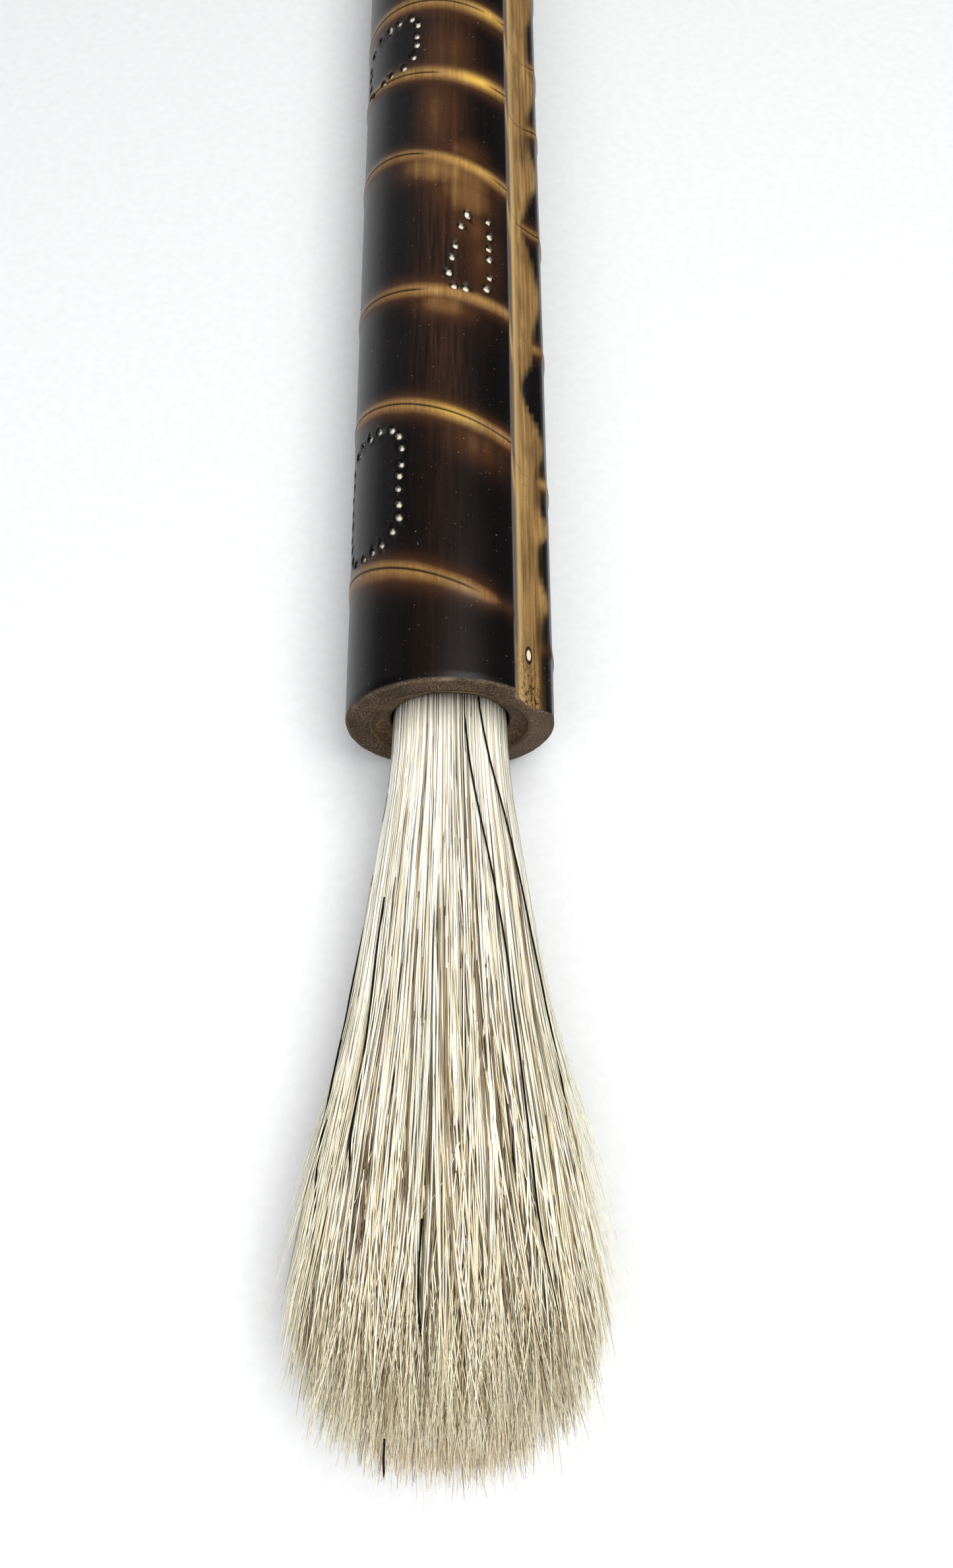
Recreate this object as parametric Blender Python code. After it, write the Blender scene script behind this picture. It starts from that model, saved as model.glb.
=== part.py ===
"""A large calligraphy brush, lying on its side as it rests on a table.

The brush lies along Y: the tuft points to -Y and the butt of the handle to +Y. Z is up and the table is z = 0.
The origin is at the middle of the bounding box's bottom. All lengths are in metres.

The handle is a length of bamboo rhizome. Its sides carry raised node rings, which lie askew, and one shallow groove.
A round bush is glued into a bore in its end, and holds the root of the tuft. The tuft is made the traditional way:
a core of hair is tied, wrapped in a middle layer and a cover layer, tied again and sealed with rosin.
"""

import math

import bpy

# Handle
HANDLE_LENGTH = 0.210
HANDLE_RADIUS = 0.0110
NODE_HEIGHT = 0.00025
NODE_HALF_WIDTH = 0.0016
FACE_CHAMFER = 0.0003
BUTT_ROUNDING = 0.0014
CANAL_RADIUS = 0.0016
BORE_RADIUS = 0.00845
BORE_DEPTH = 0.0210
# Each node ring: its distance from the tuft end, and how far it leans along the handle at the side and at the top
NODES = (
    (0.0114, -0.0044, 0.0),
    (0.0323, -0.0042, 0.0),
    (0.0499, -0.0026, -0.0012),
    (0.0690, -0.0045, 0.0),
    (0.0852, -0.0026, -0.0022),
    (0.0959, -0.0025, 0.0),
    (0.1120, -0.0030, 0.0010),
    (0.1290, -0.0036, -0.0008),
    (0.1450, -0.0022, 0.0012),
    (0.1625, -0.0034, 0.0),
    (0.1785, -0.0026, -0.0010),
    (0.1950, -0.0030, 0.0006),
)

# Groove along the handle: a sharp edge, a steep wall, the floor and a shallow slope out (angle from the top, depth)
GROOVE = (
    (38.0, 0.0),
    (43.0, 0.00075),
    (50.0, 0.00140),
    (60.0, 0.00175),
    (67.0, 0.00100),
    (74.0, 0.0),
)
SIDE_STEP = 10.0

# Fits
GAP = 0.0003

# Bush in the handle's end
BUSH_RADIUS = BORE_RADIUS - GAP
BUSH_RECESS = 0.0004
BUSH_DISH = 0.0007
BUSH_LENGTH = 0.0198
BUSH_SHIFT = -0.0008

# Butt plug
PLUG_RADIUS = 0.0042
PLUG_DEPTH = 0.0110
PLUG_RECESS = 0.0004

# Tuft
ROOT_RADIUS = 0.0059
ROOT_DEPTH = 0.0170
TUFT_LENGTH = 0.0705
UNDERSIDE_FACTOR = 1.13
UNDERSIDE_START = 0.020
# Outline of the tuft: distance from the handle's face, half width, half height and height of its middle
OUTLINE = (
    (0.0, 0.0059, 0.0059, 0.01045),
    (0.0065, 0.0063, 0.0062, 0.01040),
    (0.0180, 0.0080, 0.0073, 0.01020),
    (0.0310, 0.0097, 0.0083, 0.00990),
    (0.0440, 0.0122, 0.0092, 0.00960),
    (0.0570, 0.0143, 0.0096, 0.00940),
    (0.0636, 0.0134, 0.0086, 0.00900),
    (0.0677, 0.0096, 0.0064, 0.00860),
    (TUFT_LENGTH, 0.0030, 0.0022, 0.00820),
)
# Each layer of hair: share of the outline at its outside and inside, and how far it reaches
COVER_OUTER = 1.0
COVER_INNER = 0.763
COVER_REACH = 0.0668
MIDDLE_OUTER = 0.710
MIDDLE_INNER = 0.525
MIDDLE_REACH = 0.0690
CORE_OUTER = 0.470
HAIR_SIDES = 36
INNER_SIDES = 24

# Ties and seals at the root
BINDING_THREAD = 0.00028
BINDING_PITCH = 0.00064
BINDING_TURNS = 8
BINDING_DEPTH = 0.0062
BINDING_WAIST = 0.0050
CORE_THREAD = 0.0002
CORE_TIE_TURNS = 6
CORE_TIE_DEPTH = 0.0080
CORE_WAIST = 0.0022
THREAD_CLEARANCE = 0.0001
SEAL_THICKNESS = 0.0009
GLUE_THICKNESS = 0.0016

# Places along the brush
LENGTH = TUFT_LENGTH + HANDLE_LENGTH
TUFT_TIP_Y = -LENGTH / 2
FACE_Y = TUFT_TIP_Y + TUFT_LENGTH
BUTT_Y = LENGTH / 2
AXIS_Z = HANDLE_RADIUS + NODE_HEIGHT
SOCKET_Z = AXIS_Z + BUSH_SHIFT


def clear_scene():
    for obj in list(bpy.data.objects):
        bpy.data.objects.remove(obj)


def material(name, color, roughness, metallic=0.0):
    made = bpy.data.materials.new(name)
    made.use_nodes = True
    shader = made.node_tree.nodes["Principled BSDF"]
    shader.inputs["Base Color"].default_value = (*color, 1.0)
    shader.inputs["Roughness"].default_value = roughness
    shader.inputs["Metallic"].default_value = metallic
    made.diffuse_color = (*color, 1.0)
    return made


def solid(name, rings, finish, hollow=False, sharp=30.0):
    """A closed body skinned over rings of points, from -Y to +Y. A hollow one joins its last ring to its first."""
    sides = len(rings[0])
    points = [point for ring in rings for point in ring]
    faces = []
    spans = len(rings) if hollow else len(rings) - 1
    for row in range(spans):
        here = row * sides
        there = (row + 1) % len(rings) * sides
        for side in range(sides):
            beside = (side + 1) % sides
            faces.append((here + side, here + beside, there + beside, there + side))
    if not hollow:
        faces.append(tuple(reversed(range(sides))))
        faces.append(tuple(range(len(points) - sides, len(points))))
    mesh = bpy.data.meshes.new(name)
    mesh.from_pydata(points, [], faces)
    mesh.shade_smooth()
    mesh.set_sharp_from_angle(angle=math.radians(sharp))
    mesh.materials.append(finish)
    made = bpy.data.objects.new(name, mesh)
    bpy.context.scene.collection.objects.link(made)
    return made


def even_angles(sides):
    return [360.0 * side / sides for side in range(sides)]


def ring(y, radius, z, angles):
    """A circle across the brush. Angles are from the top towards +X."""
    return [
        (radius * math.sin(math.radians(a)), y, z + radius * math.cos(math.radians(a)))
        for a in angles
    ]


def side_angles():
    """Even steps round the handle, except in the groove, where they follow its section."""
    low = GROOVE[0][0]
    high = GROOVE[-1][0]
    margin = SIDE_STEP / 2
    steps = [SIDE_STEP * step for step in range(round(360 / SIDE_STEP))]
    outside = [a for a in steps if a < low - margin or a > high + margin]
    return sorted(outside + [a for a, _ in GROOVE])


def groove_depth(angle):
    for (start, before), (end, after) in zip(GROOVE, GROOVE[1:]):
        if start <= angle <= end:
            return before + (after - before) * (angle - start) / (end - start)
    return 0.0


def handle_ring(y, radius, angles, node=(0.0, 0.0, 0.0)):
    """One ring of the handle's outside: it leans as its node does, and dips where the groove runs."""
    _, side_lean, top_lean = node
    points = []
    for angle in angles:
        turn = math.radians(angle)
        r = radius - groove_depth(angle)
        along = y + side_lean * math.sin(turn) + top_lean * math.cos(turn)
        points.append((r * math.sin(turn), along, AXIS_Z + r * math.cos(turn)))
    return points


def build_handle(finish):
    angles = side_angles()
    rings = [handle_ring(FACE_Y, HANDLE_RADIUS - FACE_CHAMFER, angles)]
    rings.append(handle_ring(FACE_Y + FACE_CHAMFER, HANDLE_RADIUS, angles))
    for node in NODES:
        y = FACE_Y + node[0]
        rings.append(handle_ring(y - NODE_HALF_WIDTH, HANDLE_RADIUS, angles, node))
        rings.append(handle_ring(y, HANDLE_RADIUS + NODE_HEIGHT, angles, node))
        rings.append(handle_ring(y + NODE_HALF_WIDTH, HANDLE_RADIUS, angles, node))
    for degrees in (0, 45, 90):
        turn = math.radians(degrees)
        y = BUTT_Y - BUTT_ROUNDING * (1 - math.sin(turn))
        radius = HANDLE_RADIUS - BUTT_ROUNDING * (1 - math.cos(turn))
        rings.append(handle_ring(y, radius, angles))
    rings.append(ring(BUTT_Y, PLUG_RADIUS + GAP, AXIS_Z, angles))
    rings.append(ring(BUTT_Y - PLUG_DEPTH, PLUG_RADIUS + GAP, AXIS_Z, angles))
    rings.append(ring(BUTT_Y - PLUG_DEPTH, CANAL_RADIUS, AXIS_Z, angles))
    rings.append(ring(FACE_Y + BORE_DEPTH, CANAL_RADIUS, AXIS_Z, angles))
    rings.append(ring(FACE_Y + BORE_DEPTH, BORE_RADIUS, AXIS_Z, angles))
    rings.append(ring(FACE_Y, BORE_RADIUS, AXIS_Z, angles))
    return solid("bamboo_handle", rings, finish, hollow=True)


def build_bush(finish):
    """The bush's front is dished towards the hair, and its hole sits a little low."""
    angles = even_angles(INNER_SIDES * 2)
    front = FACE_Y + BUSH_RECESS
    back = front + BUSH_LENGTH
    hole = ROOT_RADIUS + GAP
    rings = [
        ring(front + BUSH_DISH, hole, SOCKET_Z, angles),
        ring(front, BUSH_RADIUS, AXIS_Z, angles),
        ring(back, BUSH_RADIUS, AXIS_Z, angles),
        ring(back, hole, SOCKET_Z, angles),
    ]
    return solid("socket_bush", rings, finish, hollow=True)


def build_disc(name, radius, y, thickness, z, finish):
    angles = even_angles(INNER_SIDES)
    rings = [ring(y, radius, z, angles), ring(y + thickness, radius, z, angles)]
    return solid(name, rings, finish)


def build_plug(finish):
    angles = even_angles(INNER_SIDES)
    inner = BUTT_Y - PLUG_DEPTH + GAP
    outer = BUTT_Y - PLUG_RECESS
    rings = [
        ring(inner, PLUG_RADIUS * 0.9, AXIS_Z, angles),
        ring(inner + PLUG_DEPTH / 5, PLUG_RADIUS, AXIS_Z, angles),
        ring(outer - FACE_CHAMFER, PLUG_RADIUS, AXIS_Z, angles),
        ring(outer, PLUG_RADIUS - FACE_CHAMFER, AXIS_Z, angles),
    ]
    return solid("butt_plug", rings, finish)


def outline_at(distance):
    """Half width, half height and middle height of the tuft, read from a smooth curve through OUTLINE."""
    for index in range(len(OUTLINE) - 1):
        start, end = OUTLINE[index], OUTLINE[index + 1]
        if distance <= end[0]:
            before = OUTLINE[max(index - 1, 0)]
            after = OUTLINE[min(index + 2, len(OUTLINE) - 1)]
            return hermite(before, start, end, after, distance)
    return OUTLINE[-1][1:]


def hermite(before, start, end, after, distance):
    span = end[0] - start[0]
    t = (distance - start[0]) / span
    values = []
    for k in (1, 2, 3):
        rise = (end[k] - before[k]) / (end[0] - before[0]) * span
        fall = (after[k] - start[k]) / (after[0] - start[0]) * span
        values.append(
            start[k] * (2 * t**3 - 3 * t**2 + 1)
            + rise * (t**3 - 2 * t**2 + t)
            + end[k] * (3 * t**2 - 2 * t**3)
            + fall * (t**3 - t**2)
        )
    return values


def hair_ring(distance, share, angles):
    """A section of a layer of hair. The tuft is flattened where it lies on the table."""
    width, height, middle = outline_at(distance)
    lower = 1 + (UNDERSIDE_FACTOR - 1) * min(distance / UNDERSIDE_START, 1)
    points = []
    for angle in angles:
        turn = math.radians(angle)
        rise = height * math.cos(turn)
        if rise < 0:
            rise = max(rise * lower, -middle)
        points.append((share * width * math.sin(turn), FACE_Y - distance, middle + share * rise))
    return points


def free_hair(reach, share, angles, rows=14):
    """Rings from the tip of a layer back to the handle's face."""
    return [hair_ring(reach * (1 - row / rows), share, angles) for row in range(rows + 1)]


def root_rings(share, waist_radius, waist_depth, waist_length, angles):
    """Rings down the root, inside the socket, drawn in where a thread ties it."""
    radius = ROOT_RADIUS * share
    stations = (
        (waist_depth - 0.0008, radius),
        (waist_depth, waist_radius),
        (waist_depth + waist_length, waist_radius),
        (waist_depth + waist_length + 0.0008, radius),
        (ROOT_DEPTH, radius),
    )
    return [ring(FACE_Y + depth, r, SOCKET_Z, angles) for depth, r in stations]


def layer_inside(reach, share, angles):
    """Rings of a sleeve's inside, from its root to its mouth."""
    root = [ring(FACE_Y + ROOT_DEPTH, ROOT_RADIUS * share, SOCKET_Z, angles)]
    return root + free_hair(reach, share, angles)[::-1]


def build_cover(finish):
    angles = even_angles(HAIR_SIDES)
    wound = BINDING_TURNS * BINDING_PITCH + 2 * BINDING_THREAD
    outside = free_hair(COVER_REACH, COVER_OUTER, angles)
    outside += root_rings(COVER_OUTER, BINDING_WAIST, BINDING_DEPTH, wound, angles)
    inside = layer_inside(COVER_REACH, COVER_INNER, angles)
    return solid("hair_cover", outside + inside, finish, hollow=True)


def build_middle(finish):
    angles = even_angles(INNER_SIDES)
    outside = free_hair(MIDDLE_REACH, MIDDLE_OUTER, angles)
    outside.append(ring(FACE_Y + ROOT_DEPTH, ROOT_RADIUS * MIDDLE_OUTER, SOCKET_Z, angles))
    inside = layer_inside(MIDDLE_REACH, MIDDLE_INNER, angles)
    return solid("hair_middle", outside + inside, finish, hollow=True)


def build_core(finish):
    angles = even_angles(INNER_SIDES)
    wound = CORE_TIE_TURNS * core_pitch() + 2 * CORE_THREAD
    rings = free_hair(TUFT_LENGTH, CORE_OUTER, angles)
    rings += root_rings(CORE_OUTER, CORE_WAIST, CORE_TIE_DEPTH, wound, angles)
    return solid("hair_core", rings, finish)


def core_pitch():
    return 2 * CORE_THREAD * BINDING_PITCH / (2 * BINDING_THREAD)


def build_thread(name, waist, depth, turns, thread, pitch, finish, steps=20, sides=6):
    """A thread wound in a close helix round a waist in the root."""
    middle = waist + THREAD_CLEARANCE + thread
    start = FACE_Y + depth + thread
    rings = []
    for step in range(turns * steps + 1):
        turn = 2 * math.pi * step / steps
        y = start + pitch * step / steps
        points = []
        for side in range(sides):
            around = 2 * math.pi * side / sides
            radius = middle + thread * math.cos(around)
            across = radius * math.sin(turn)
            up = SOCKET_Z + radius * math.cos(turn)
            points.append((across, y - thread * math.sin(around), up))
        rings.append(points)
    return solid(name, rings, finish, sharp=80.0)


def main():
    clear_scene()
    bamboo = material("bamboo", (0.055, 0.035, 0.025), 0.3)
    bush_wood = material("bush_wood", (0.16, 0.10, 0.055), 0.6)
    plug_wood = material("plug_wood", (0.05, 0.03, 0.02), 0.4)
    cream = material("cover_hair", (0.72, 0.62, 0.45), 0.5)
    ivory = material("middle_hair", (0.76, 0.68, 0.52), 0.5)
    tan = material("core_hair", (0.55, 0.42, 0.26), 0.5)
    thread = material("thread", (0.62, 0.58, 0.50), 0.8)
    rosin = material("rosin", (0.24, 0.11, 0.03), 0.25)
    glue = material("glue", (0.50, 0.38, 0.18), 0.3)
    build_handle(bamboo)
    build_bush(bush_wood)
    build_plug(plug_wood)
    build_cover(cream)
    build_middle(ivory)
    build_core(tan)
    build_thread(
        "root_binding", BINDING_WAIST, BINDING_DEPTH, BINDING_TURNS, BINDING_THREAD, BINDING_PITCH, thread
    )
    build_thread(
        "core_tie", CORE_WAIST, CORE_TIE_DEPTH, CORE_TIE_TURNS, CORE_THREAD, core_pitch(), thread
    )
    seal_y = FACE_Y + ROOT_DEPTH + GAP
    build_disc("root_seal", ROOT_RADIUS, seal_y, SEAL_THICKNESS, SOCKET_Z, rosin)
    glue_y = seal_y + SEAL_THICKNESS + GAP
    build_disc("glue_bed", ROOT_RADIUS, glue_y, GLUE_THICKNESS, SOCKET_Z, glue)


main()
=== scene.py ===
"""A large calligraphy brush lying on a table: its looks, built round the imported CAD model.

Lengths are in metres, and those in the tables and in the tuft's own values in millimetres. The brush lies
along Y, with its tuft towards -Y. Along the handle, places are distances from the face that the tuft comes out
of. Round the handle, angles are in degrees from the top towards +X.
"""

import math
from collections import namedtuple

import bmesh
import bpy
import numpy as np
from mathutils import Matrix, Vector


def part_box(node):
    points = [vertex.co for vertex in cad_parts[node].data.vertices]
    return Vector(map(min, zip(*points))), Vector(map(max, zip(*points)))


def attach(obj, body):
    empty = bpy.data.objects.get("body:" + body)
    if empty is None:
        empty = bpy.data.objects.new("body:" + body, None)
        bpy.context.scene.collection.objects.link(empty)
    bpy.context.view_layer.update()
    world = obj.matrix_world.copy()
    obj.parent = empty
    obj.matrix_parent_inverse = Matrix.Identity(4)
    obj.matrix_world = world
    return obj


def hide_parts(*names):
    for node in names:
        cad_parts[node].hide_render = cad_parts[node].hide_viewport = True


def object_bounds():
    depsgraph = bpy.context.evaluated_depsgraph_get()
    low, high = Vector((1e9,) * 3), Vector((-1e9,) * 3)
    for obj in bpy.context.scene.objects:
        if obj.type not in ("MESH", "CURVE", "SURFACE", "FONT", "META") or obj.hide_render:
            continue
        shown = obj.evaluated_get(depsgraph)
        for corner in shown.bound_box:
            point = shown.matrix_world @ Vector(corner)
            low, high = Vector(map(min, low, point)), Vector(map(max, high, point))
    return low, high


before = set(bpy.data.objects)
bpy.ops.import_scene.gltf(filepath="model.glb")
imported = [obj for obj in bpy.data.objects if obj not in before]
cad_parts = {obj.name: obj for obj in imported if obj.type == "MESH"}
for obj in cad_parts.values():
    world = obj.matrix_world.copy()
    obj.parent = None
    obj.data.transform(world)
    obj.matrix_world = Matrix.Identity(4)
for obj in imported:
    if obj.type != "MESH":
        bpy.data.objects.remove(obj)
cad_low, cad_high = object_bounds()

MM = 0.001
handle_low, handle_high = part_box("bamboo_handle")
bush_low, bush_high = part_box("socket_bush")
plug_low, plug_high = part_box("butt_plug")
seal_low, seal_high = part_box("root_seal")

# Places and sizes that the CAD model settles
GAP = 0.3 * MM
FACE_Y = handle_low.y
BUTT_Y = handle_high.y
HANDLE_LENGTH = BUTT_Y - FACE_Y
AXIS_Z = (handle_low.z + handle_high.z) / 2
RIDGE = 0.25 * MM
HANDLE_RADIUS = (handle_high.z - handle_low.z) / 2 - RIDGE
BUSH_RADIUS = (bush_high.z - bush_low.z) / 2
BORE_RADIUS = BUSH_RADIUS + GAP
BORE_DEPTH = 21.0 * MM
PLUG_RADIUS = (plug_high.z - plug_low.z) / 2 + GAP
PLUG_FLOOR = plug_low.y - GAP
CANAL_RADIUS = 1.6 * MM
ROOT_RADIUS = (seal_high.z - seal_low.z) / 2
ROOT_Z = (seal_high.z + seal_low.z) / 2
ROOT_DEPTH = seal_low.y - FACE_Y - GAP
TUFT_LENGTH = FACE_Y - cad_low.y

# Node rings: place, lean along the handle at the side and at the top, the angles between which the dark line
# fades out, how golden the band is, and the angle and half width of its warmest stretch
Node = namedtuple("Node", "place side_lean top_lean line_gap gold warm_angle warm_width")
NODES = [
    Node(11.4, -4.4, 0.0, (14, 80), 0.74, -30, 55),
    Node(32.3, -4.2, 0.0, (60, 78), 0.92, 0, 70),
    Node(49.9, -2.6, -1.2, (-16, 76), 0.80, -2, 40),
    Node(69.0, -4.5, 0.0, (-16, 28), 0.86, 14, 46),
    Node(85.2, -2.6, -2.2, (-8, 26), 1.00, 14, 50),
    Node(95.9, -2.5, 0.0, (22, 32), 0.92, 20, 60),
    Node(112.0, -3.0, 1.0, (40, 76), 0.70, -10, 70),
    Node(129.0, -3.6, -0.8, (-30, 20), 0.90, 0, 60),
    Node(145.0, -2.2, 1.2, (50, 70), 0.65, -40, 80),
    Node(162.5, -3.4, 0.0, (-10, 40), 0.85, 10, 60),
    Node(178.5, -2.6, -1.0, (60, 80), 0.75, -20, 80),
    Node(195.0, -3.0, 0.6, (10, 50), 0.80, 0, 70),
]
RING_HEIGHT = 0.15 * MM
RING_WIDTH = 0.95 * MM
LINE_DEPTH = 0.13 * MM
LINE_WIDTH = 0.10 * MM
SWELLING = 0.035 * MM

# Section of the groove: angle and depth
GROOVE = ((37.4, 0.0), (38.6, 0.25), (43.0, 0.85), (50.0, 1.42), (58.0, 1.72), (66.0, 1.12), (74.0, 0.0))
GROOVE_START = 38.0
GROOVE_END = 74.0
GROOVE_UNEVENNESS = 0.07 * MM

# Angles with a column of points, across the groove
GROOVE_COLUMNS = (
    36.6, 37.4, 38.0, 38.6, 39.6, 41.2, 43.0, 45.0, 47.5, 50.0,
    52.5, 55.0, 58.0, 61.0, 63.5, 66.0, 69.0, 72.0, 74.0, 75.5,
)

# Rounding of the handle's edges at its two ends
BUTT_ROUNDING = 1.4 * MM
FACE_ROUNDING = 0.3 * MM

# Warm patches where the fire spared the skin: place, angle, length, width in degrees, and strength
WARM_PATCHES = (
    (67.0, -4, 2.0, 26, 0.66), (64.6, 8, 3.4, 17, 0.47), (60.0, 14, 3.6, 14, 0.24),
    (71.2, 8, 2.4, 14, 0.26), (77.0, -6, 8.0, 12, 0.26), (88.0, 0, 5.0, 14, 0.25),
    (29.5, 16, 2.6, 18, 0.24), (47.9, -3, 1.8, 16, 0.46), (56.0, 20, 7.0, 12, 0.20),
    (99.0, 4, 5.0, 14, 0.22), (134.0, -160, 9.0, 30, 0.35), (160.0, 5, 8.0, 20, 0.35),
    (60.0, 178, 8.0, 25, 0.40), (185.0, 170, 9.0, 28, 0.35),
)

# Where the groove's pale ground runs further out over its edge, or less far: place, half length, and degrees
GROUND_REACH = (
    (17.2, 1.8, 7), (26.4, 1.6, 8), (37.0, 2.2, 4), (43.5, 3.0, -9),
    (58.0, 4.2, 6), (69.0, 3.0, -6), (78.0, 2.6, 8), (92.0, 3.2, 8),
    (108.0, 3.6, 7), (118.0, 3.0, -6), (127.0, 2.4, 8), (143.0, 3.6, 7),
    (152.0, 3.0, -7), (163.0, 3.0, 7), (182.0, 2.6, 8), (198.0, 3.4, 7),
)

# A pale chip with a dark rim, in the groove near the face: its middle, and half sizes of the chip and its rim
CHIP_TURN = math.radians(60.5)
CHIP_REACH = HANDLE_RADIUS - 1.5 * MM
CHIP = (CHIP_REACH * math.sin(CHIP_TURN), FACE_Y + 6.0 * MM, AXIS_Z + CHIP_REACH * math.cos(CHIP_TURN))
CHIP_SIZE = (0.20, 0.55, 1.2)
CHIP_RIM_SIZE = (0.34, 0.95, 1.2)
CHIP_EDGE = 0.25

# Loops of rootlet scars: place, angle, half length, half width in degrees, skew of the far left corner in
# degrees, and number of scars
SCAR_LOOPS = (
    (24.4, -52.0, 7.6, 24.0, 0, 25), (55.0, 11.0, 5.8, 13.5, 11, 14),
    (90.6, -46.0, 4.5, 24.0, 0, 17), (40.8, 148.0, 6.0, 22.0, 0, 18),
    (77.0, -148.0, 5.6, 24.0, 6, 18), (103.8, 130.0, 5.0, 20.0, 0, 15),
    (120.3, -30.0, 5.6, 21.0, 0, 18), (137.0, -120.0, 5.4, 20.0, 8, 17),
    (153.6, 8.0, 5.2, 18.0, 0, 16), (170.3, 140.0, 5.2, 22.0, 0, 16),
    (186.6, -70.0, 5.6, 22.0, 0, 18),
)
SCAR_RADIUS = 0.54 * MM
SCAR_DEPTH = 0.26 * MM
SCAR_RIM = 0.06 * MM
SCAR_CORE = 0.13 * MM
SCAR_REACH = 1.2 * MM

# The bush's dished front, from its edge to its hole: share of the way, and depth in millimetres
DISH = (
    (0.0, 0.0), (0.05, 0.10), (0.15, 0.30), (0.3, 0.48), (0.5, 0.62),
    (0.7, 0.70), (0.86, 0.74), (0.95, 0.84), (1.0, 1.1),
)

# Outline of the tuft: distance from the face, half width, half height, and height of its middle
OUTLINE = (
    (-20.0, 5.9, 5.9, 10.45),
    (0.0, 5.9, 5.9, 10.45),
    (6.5, 6.3, 6.2, 10.40),
    (18.0, 8.0, 7.3, 10.20),
    (31.0, 9.7, 8.3, 9.90),
    (44.0, 12.2, 9.2, 9.60),
    (57.0, 14.1, 9.5, 9.40),
    (64.0, 14.5, 9.5, 9.20),
    (73.0, 14.6, 9.3, 9.00),
)

# How much deeper the tuft is below its middle than above, and from what distance on
UNDERSIDE_FACTOR = 1.13
UNDERSIDE_START = 20.0

# Hairs that would sink into the table lie on it: how far they may sink, and their pile's foot, depth and top
SINK = 3.0
PILE_LOW = 0.09
PILE_DEPTH = 0.9
PILE_TOP = 1.0

# Hairs: their radius, the sides and points of their tubes, how deep they start, and the length over which
# they stray more and more
HAIR_RADIUS = 0.115 * MM
BLACK_HAIR_RADIUS = 0.11 * MM
STRAY_HAIR_RADIUS = 0.05 * MM
HAIR_SIDES = 3
HAIR_POINTS = 13
HAIR_ROOT = 3.0
STRAY_LENGTH = 70.0

# Layers of hair: their number, the shares of the root's radius between which they are rooted, a seed, the
# number of locks, how unevenly these end, and the share of the hairs that is nearly white
Layer = namedtuple("Layer", "count inner outer seed locks ragged bright")
OUTER_COVER = Layer(2500, 0.88, 1.0, 1, 420, 2.8, 0.54)
# The inner cover has fewer nearly white hairs than the outer one, as painted shade under it
INNER_COVER = Layer(1700, 0.76, 0.88, 4, 240, 2.4, 0.34)
MIDDLE = Layer(2400, 0.5, 0.78, 2, 260, 2.0, 0.45)
CORE = Layer(2200, 0.0, 0.5, 3, 180, 1.5, 0.60)

# Tones of hair, from the darkest hairs to the lightest, and how their tips are tinted. The cream hairs' tips
# are also brightened, as painted light on the tuft's end
CREAM_TONES = (
    (0.00, (0.070, 0.046, 0.026)),
    (0.20, (0.28, 0.215, 0.130)),
    (0.42, (0.55, 0.485, 0.350)),
    (0.66, (0.72, 0.695, 0.59)),
    (1.00, (0.85, 0.845, 0.79)),
)
TAN_TONES = (
    (0.00, (0.20, 0.125, 0.065)),
    (0.35, (0.50, 0.39, 0.245)),
    (0.70, (0.74, 0.64, 0.46)),
    (1.00, (0.88, 0.81, 0.67)),
)
CREAM_TIP_TINT_AND_LIGHT = (1.22, 1.18, 1.04)
TAN_TIP_TINT = (0.95, 0.90, 0.80)

# Black hairs: places that each passes, as the distance, the share across the tuft's top, and how far out it
# lies, where 1 is the tuft's surface
BLACK_HAIRS = (
    (
        (-2, 0.44, 1.04), (0.3, 0.47, 1.05), (4.5, 0.62, 1.06), (12.9, 0.79, 1.06),
        (24.2, 0.87, 1.06), (34.2, 0.94, 1.06), (46.0, 0.87, 1.04),
    ),
    (
        (-2, 0.22, 0.98), (6.1, 0.30, 1.05), (13.3, 0.44, 1.06), (21.6, 0.56, 1.07),
        (31.0, 0.60, 1.06), (45.5, 0.56, 1.06), (56.6, 0.58, 1.07), (62.5, 0.72, 1.04),
    ),
    (
        (22.0, -0.975, 1.00), (26.0, -0.985, 1.03), (32.8, -0.985, 1.04),
        (41.7, -0.95, 1.04), (48.8, -0.90, 1.04), (52.0, -0.86, 1.00),
    ),
    ((20.0, -0.75, 1.00), (24.5, -0.75, 1.02), (31.8, -0.73, 1.02), (38.0, -0.72, 1.00)),
    ((37.0, -0.72, 1.00), (42.3, -0.70, 1.04), (47.0, -0.68, 1.00)),
    ((67.0, -0.35, 0.98), (68.5, -0.345, 1.0), (70.0, -0.34, 1.0)),
    ((50.0, -0.17, 0.95), (54.6, -0.16, 1.06), (57.7, -0.15, 1.06), (60.5, -0.14, 0.97)),
)

# Camera: place from the middle of the handle's face, and its turn, tilt down and roll in degrees
CAMERA_PLACE = (2.62 * MM, -60.35 * MM, 126.78 * MM)
CAMERA_YAW = 0.16
CAMERA_PITCH = 66.99
CAMERA_ROLL = 0.12
CAMERA_LENS = 30.56
SENSOR = 36.0


# ---- Helpers ----


def smooth(low, high, x):
    """0 below low, 1 above high, and a smooth rise in between."""
    t = np.clip((np.asarray(x, float) - low) / (high - low), 0, 1)
    return t * t * (3 - 2 * t)


def bell(x, width):
    """1 at 0, falling off on both sides over a width."""
    return np.exp(-((np.asarray(x, float) / width) ** 2))


def between(angle, low, high, ease=4.0):
    """1 between two angles and 0 outside them, changing over some degrees."""
    half = ease / 2
    return smooth(low - half, low + half, angle) * (1 - smooth(high - half, high + half, angle))


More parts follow.
